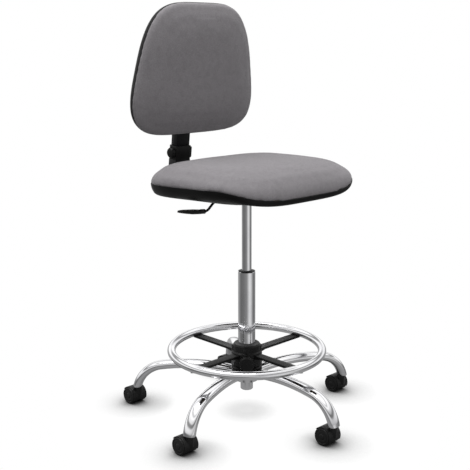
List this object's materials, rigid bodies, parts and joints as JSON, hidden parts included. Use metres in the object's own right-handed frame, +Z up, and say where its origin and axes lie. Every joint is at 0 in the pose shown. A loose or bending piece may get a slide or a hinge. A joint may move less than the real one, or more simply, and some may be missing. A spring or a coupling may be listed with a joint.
{
  "type": "drafting chair",
  "caption": "High swivel work chair with a padded seat and back, gas column, foot ring and a chromed star base on castors.",
  "frame": {"origin": "on the floor, on the axis of the column", "axes": "+Z up along the column, -Y the direction that the sitter faces, +X the sitter's left"},
  "size_m": [0.6816, 0.6601, 1.183],
  "materials": {
    "chrome": "polished chrome plate",
    "bright_steel": "zinc-plated or ground steel",
    "black_steel": "satin black powder coat",
    "black_plastic": "fine-grained black moulding",
    "castor_nylon": "satin black nylon",
    "shell_plastic": "grained black shell",
    "rubber": "matt rubber",
    "plywood": "bare plywood",
    "grey_fabric": "fine woven mid-grey upholstery fabric"
  },
  "bodies": {
    "base": {"base_hub": "chrome", "base_arm_1": "chrome", "base_arm_2": "chrome", "base_arm_3": "chrome", "base_arm_4": "chrome", "base_arm_5": "chrome", "base_collar": "black_plastic", "castor_sockets": "black_plastic", "castor_stems": "bright_steel", "column_tube": "chrome", "column_bush": "black_plastic", "thrust_bearing": "bright_steel"},
    "lift_rod": {"piston_rod": "bright_steel", "retaining_clip": "bright_steel", "rubber_buffer": "rubber"},
    "seat": {"pressure_tube": "chrome", "seat_mechanism": "black_steel", "mechanism_bolts": "bright_steel", "tilt_pin": "bright_steel", "tilt_spring": "bright_steel", "seat_shell": "shell_plastic", "seat_board": "plywood", "seat_cushion": "grey_fabric"},
    "valve": {"valve_button": "bright_steel"},
    "lever": {"lever_rod": "black_steel", "lever_paddle": "black_plastic"},
    "footring_carrier": {"footring_liner": "black_plastic"},
    "footring": {"footring_tube": "chrome", "footring_hub": "black_plastic", "footring_screws": "bright_steel"},
    "footring_clamp": {"footring_knob": "black_plastic"},
    "back_support": {"back_arm": "black_steel", "clamp_housing": "black_plastic", "clamp_cap": "black_plastic"},
    "back_clamp": {"clamp_knob": "black_plastic"},
    "back": {"back_upright": "black_steel", "back_screws": "bright_steel", "back_shell": "shell_plastic", "back_board": "plywood", "back_cushion": "grey_fabric"},
    "castor_1": {"castor_1_housing": "castor_nylon", "castor_1_axle": "bright_steel"},
    "castor_1_left": {"castor_1_wheel_left": "castor_nylon"},
    "castor_1_right": {"castor_1_wheel_right": "castor_nylon"},
    "castor_2": {"castor_2_housing": "castor_nylon", "castor_2_axle": "bright_steel"},
    "castor_2_left": {"castor_2_wheel_left": "castor_nylon"},
    "castor_2_right": {"castor_2_wheel_right": "castor_nylon"},
    "castor_3": {"castor_3_housing": "castor_nylon", "castor_3_axle": "bright_steel"},
    "castor_3_left": {"castor_3_wheel_left": "castor_nylon"},
    "castor_3_right": {"castor_3_wheel_right": "castor_nylon"},
    "castor_4": {"castor_4_housing": "castor_nylon", "castor_4_axle": "bright_steel"},
    "castor_4_left": {"castor_4_wheel_left": "castor_nylon"},
    "castor_4_right": {"castor_4_wheel_right": "castor_nylon"},
    "castor_5": {"castor_5_housing": "castor_nylon", "castor_5_axle": "bright_steel"},
    "castor_5_left": {"castor_5_wheel_left": "castor_nylon"},
    "castor_5_right": {"castor_5_wheel_right": "castor_nylon"}
  },
  "joints": [
    {"name": "seat_swivel", "type": "hinge", "parent": "base", "child": "lift_rod", "pos_m": [0, 0, 0.1], "axis": [0, 0, 1], "continuous": true},
    {"name": "seat_height", "type": "slide", "parent": "lift_rod", "child": "seat", "axis": [0, 0, 1], "range_m": [-0.2, 0]},
    {"name": "height_lever", "type": "hinge", "parent": "seat", "child": "lever", "pos_m": [-0.04, 0, 0.645], "axis": [0, 1, 0], "range_deg": [0, 7.2], "stiffness_Nm_per_rad": 6, "springref_deg": -2.86},
    {"name": "valve_press", "type": "slide", "parent": "seat", "child": "valve", "axis": [0, 0, -1], "range_m": [0, 0.005]},
    {"name": "footring_height", "type": "slide", "parent": "base", "child": "footring_carrier", "axis": [0, 0, 1], "range_m": [0, 0.18]},
    {"name": "footring_turn", "type": "hinge", "parent": "footring_carrier", "child": "footring", "pos_m": [0, 0, 0.2], "axis": [0, 0, 1], "continuous": true},
    {"name": "footring_clamp_turn", "type": "hinge", "parent": "footring", "child": "footring_clamp", "pos_m": [-0.04243, -0.04243, 0.16805], "axis": [-0.7071, -0.7071, 0], "range_deg": [-540, 0]},
    {"name": "back_tilt", "type": "hinge", "parent": "seat", "child": "back_support", "pos_m": [0, 0.108, 0.648], "axis": [-1, 0, 0], "range_deg": [0, 15], "stiffness_Nm_per_rad": 60, "springref_deg": -28.65},
    {"name": "back_clamp_turn", "type": "hinge", "parent": "back_support", "child": "back_clamp", "pos_m": [-0.0409, 0.28553, 0.74753], "axis": [-1, 0, 0], "range_deg": [-540, 0]},
    {"name": "back_height", "type": "slide", "parent": "back_support", "child": "back", "axis": [0, -0.1132, 0.9936], "range_m": [-0.03, 0.04]},
    {"name": "castor_1_swivel", "type": "hinge", "parent": "base", "child": "castor_1", "pos_m": [0, -0.331, 0.04], "axis": [0, 0, 1], "continuous": true},
    {"name": "castor_1_left_roll", "type": "hinge", "parent": "castor_1", "child": "castor_1_left", "pos_m": [0, -0.311, 0.025], "axis": [1, 0, 0], "continuous": true},
    {"name": "castor_1_right_roll", "type": "hinge", "parent": "castor_1", "child": "castor_1_right", "pos_m": [0, -0.311, 0.025], "axis": [1, 0, 0], "continuous": true},
    {"name": "castor_2_swivel", "type": "hinge", "parent": "base", "child": "castor_2", "pos_m": [0.3148, -0.10228, 0.04], "axis": [0, 0, 1], "continuous": true},
    {"name": "castor_2_left_roll", "type": "hinge", "parent": "castor_2", "child": "castor_2_left", "pos_m": [0.3148, -0.08228, 0.025], "axis": [1, 0, 0], "continuous": true},
    {"name": "castor_2_right_roll", "type": "hinge", "parent": "castor_2", "child": "castor_2_right", "pos_m": [0.3148, -0.08228, 0.025], "axis": [1, 0, 0], "continuous": true},
    {"name": "castor_3_swivel", "type": "hinge", "parent": "base", "child": "castor_3", "pos_m": [0.19456, 0.26778, 0.04], "axis": [0, 0, 1], "continuous": true},
    {"name": "castor_3_left_roll", "type": "hinge", "parent": "castor_3", "child": "castor_3_left", "pos_m": [0.19456, 0.28778, 0.025], "axis": [1, 0, 0], "continuous": true},
    {"name": "castor_3_right_roll", "type": "hinge", "parent": "castor_3", "child": "castor_3_right", "pos_m": [0.19456, 0.28778, 0.025], "axis": [1, 0, 0], "continuous": true},
    {"name": "castor_4_swivel", "type": "hinge", "parent": "base", "child": "castor_4", "pos_m": [-0.19456, 0.26778, 0.04], "axis": [0, 0, 1], "continuous": true},
    {"name": "castor_4_left_roll", "type": "hinge", "parent": "castor_4", "child": "castor_4_left", "pos_m": [-0.19456, 0.28778, 0.025], "axis": [1, 0, 0], "continuous": true},
    {"name": "castor_4_right_roll", "type": "hinge", "parent": "castor_4", "child": "castor_4_right", "pos_m": [-0.19456, 0.28778, 0.025], "axis": [1, 0, 0], "continuous": true},
    {"name": "castor_5_swivel", "type": "hinge", "parent": "base", "child": "castor_5", "pos_m": [-0.3148, -0.10228, 0.04], "axis": [0, 0, 1], "continuous": true},
    {"name": "castor_5_left_roll", "type": "hinge", "parent": "castor_5", "child": "castor_5_left", "pos_m": [-0.3148, -0.08228, 0.025], "axis": [1, 0, 0], "continuous": true},
    {"name": "castor_5_right_roll", "type": "hinge", "parent": "castor_5", "child": "castor_5_right", "pos_m": [-0.3148, -0.08228, 0.025], "axis": [1, 0, 0], "continuous": true}
  ],
  "couplings": [
    {"joint": "valve_press", "follows": "height_lever", "m_per_rad": 0.039789}
  ]
}
